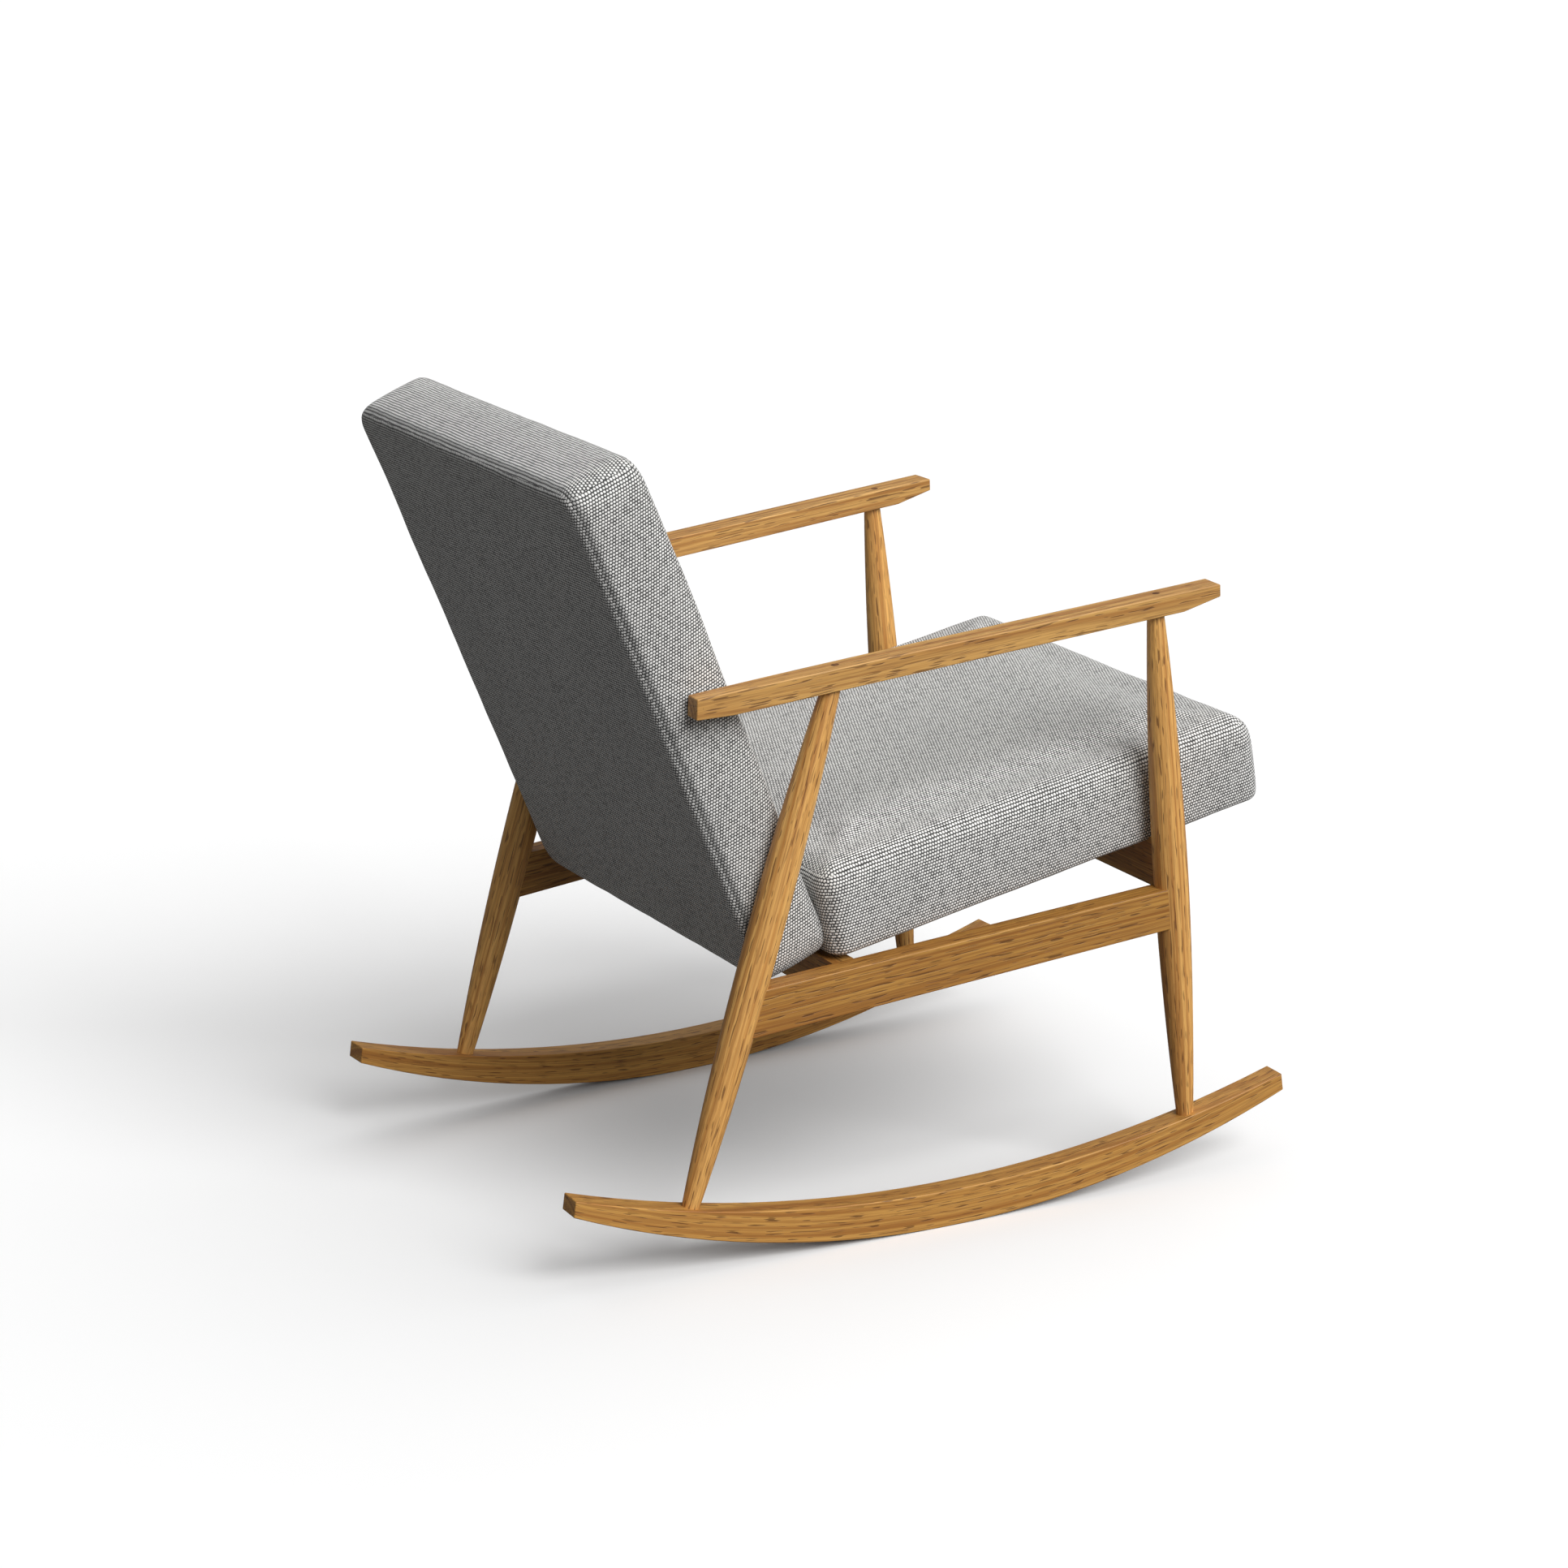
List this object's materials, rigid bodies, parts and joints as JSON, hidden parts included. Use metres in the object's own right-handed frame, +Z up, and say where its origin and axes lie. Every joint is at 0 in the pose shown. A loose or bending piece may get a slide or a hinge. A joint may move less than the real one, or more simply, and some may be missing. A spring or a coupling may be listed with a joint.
{
  "type": "rocking chair",
  "caption": "Low wooden rocking armchair with spindle legs, slim slanted armrests, curved runners and a thick upholstered seat and reclined back.",
  "frame": {"origin": "on the floor, midway between the two rockers, where they touch the floor at rest", "axes": "+Z up, the chair faces -Y, +X is the sitter's left"},
  "size_m": [0.6212, 0.8488, 0.8512],
  "materials": {
    "oak_frame": "satin clear lacquer",
    "dark_plug": "satin",
    "beech_dowel": "raw",
    "pine_inner_frame": "raw",
    "black_cap": "matte",
    "steel": "zinc plated",
    "black_spacer": "matte",
    "webbing": "woven elastic strap",
    "foam": "open-cell foam",
    "grey_weave": "coarse melange weave",
    "dust_cloth": "thin non-woven lining"
  },
  "bodies": {
    "root": {"rocker_left": "oak_frame", "rocker_right": "oak_frame", "front_leg_left": "oak_frame", "front_leg_right": "oak_frame", "rear_leg_left": "oak_frame", "rear_leg_right": "oak_frame", "armrest_left": "oak_frame", "armrest_right": "oak_frame", "side_rail_left": "oak_frame", "side_rail_right": "oak_frame", "front_cross_rail": "oak_frame", "rear_cross_rail": "oak_frame", "leg_foot_dowels": "beech_dowel", "leg_top_plugs": "dark_plug", "leg_top_screws": "steel", "side_rail_dowels": "beech_dowel", "cross_rail_dowels": "beech_dowel", "back_bolt_caps": "black_cap", "back_bolts": "steel", "back_spacers": "black_spacer", "back_inserts": "steel", "back_brackets": "steel", "back_bracket_screws": "steel", "back_frame_posts": "pine_inner_frame", "back_frame_rails": "pine_inner_frame", "back_webbing": "webbing", "back_foam": "foam", "back_cover": "grey_weave", "back_rear_panel": "grey_weave", "seat_frame_sides": "pine_inner_frame", "seat_frame_ends": "pine_inner_frame", "seat_webbing": "webbing", "seat_foam": "foam", "seat_cover": "grey_weave", "seat_dust_cover": "dust_cloth", "seat_rest_pads": "black_spacer", "seat_bolts": "steel", "seat_inserts": "steel"}
  },
  "joints": []
}
